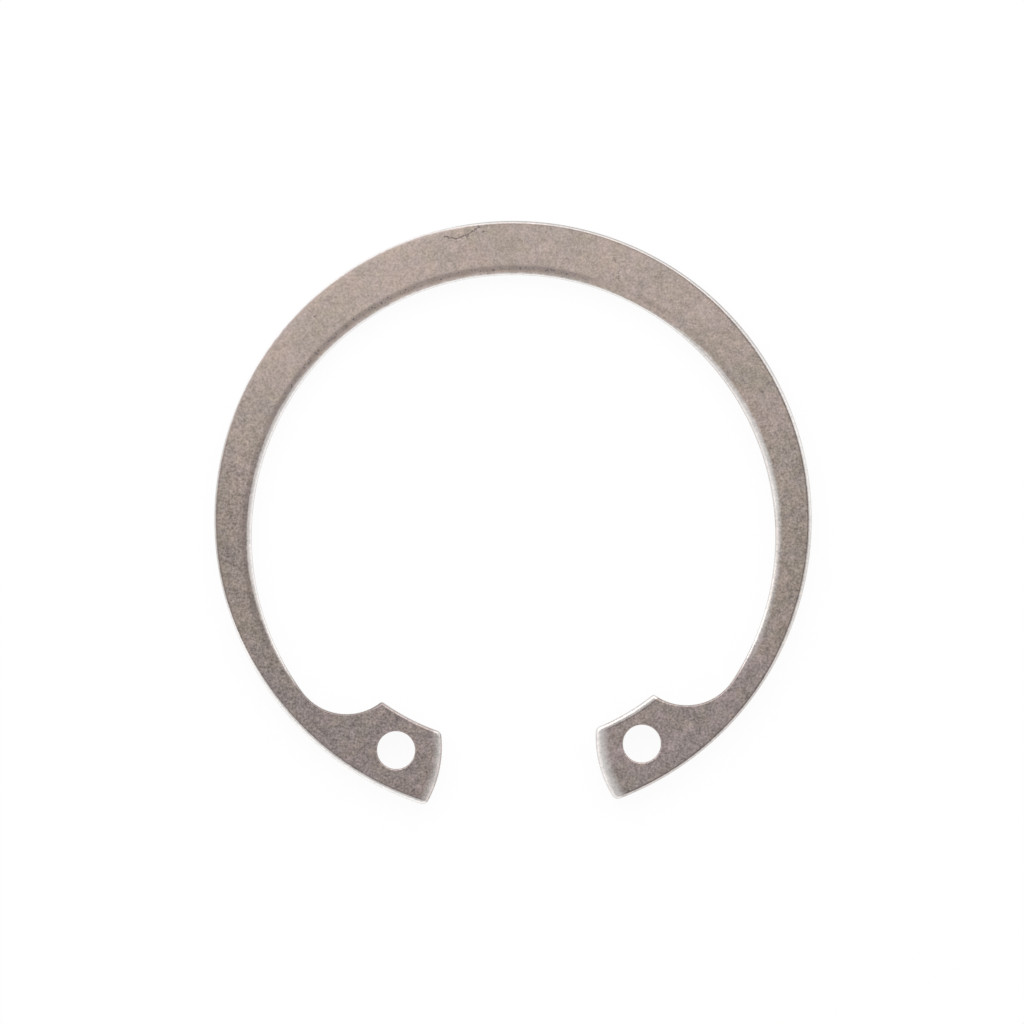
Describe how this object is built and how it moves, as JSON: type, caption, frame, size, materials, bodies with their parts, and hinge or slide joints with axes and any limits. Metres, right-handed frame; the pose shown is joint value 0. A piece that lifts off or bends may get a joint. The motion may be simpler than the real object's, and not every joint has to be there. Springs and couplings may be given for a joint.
{
  "type": "internal retaining ring",
  "caption": "Flat C-shaped spring ring for a bore: a tapered body ends in pierced lugs beside an open gap, so that pliers can close it and let it spring out into a groove to hold a part.",
  "frame": {"origin": "centre of the outer edge, halfway through the thickness", "axes": "+Z is the ring's axis and points out of the front face, whose edges are rolled; -Y points from the centre to the middle of the gap; +X is to the right"},
  "size_m": [0.0454, 0.0442, 0.0018],
  "materials": {
    "spring_steel": "bare stainless spring steel, finely grained grey faces with bright rolled edges"
  },
  "bodies": {
    "root": {"retaining_ring": "spring_steel"}
  },
  "joints": []
}
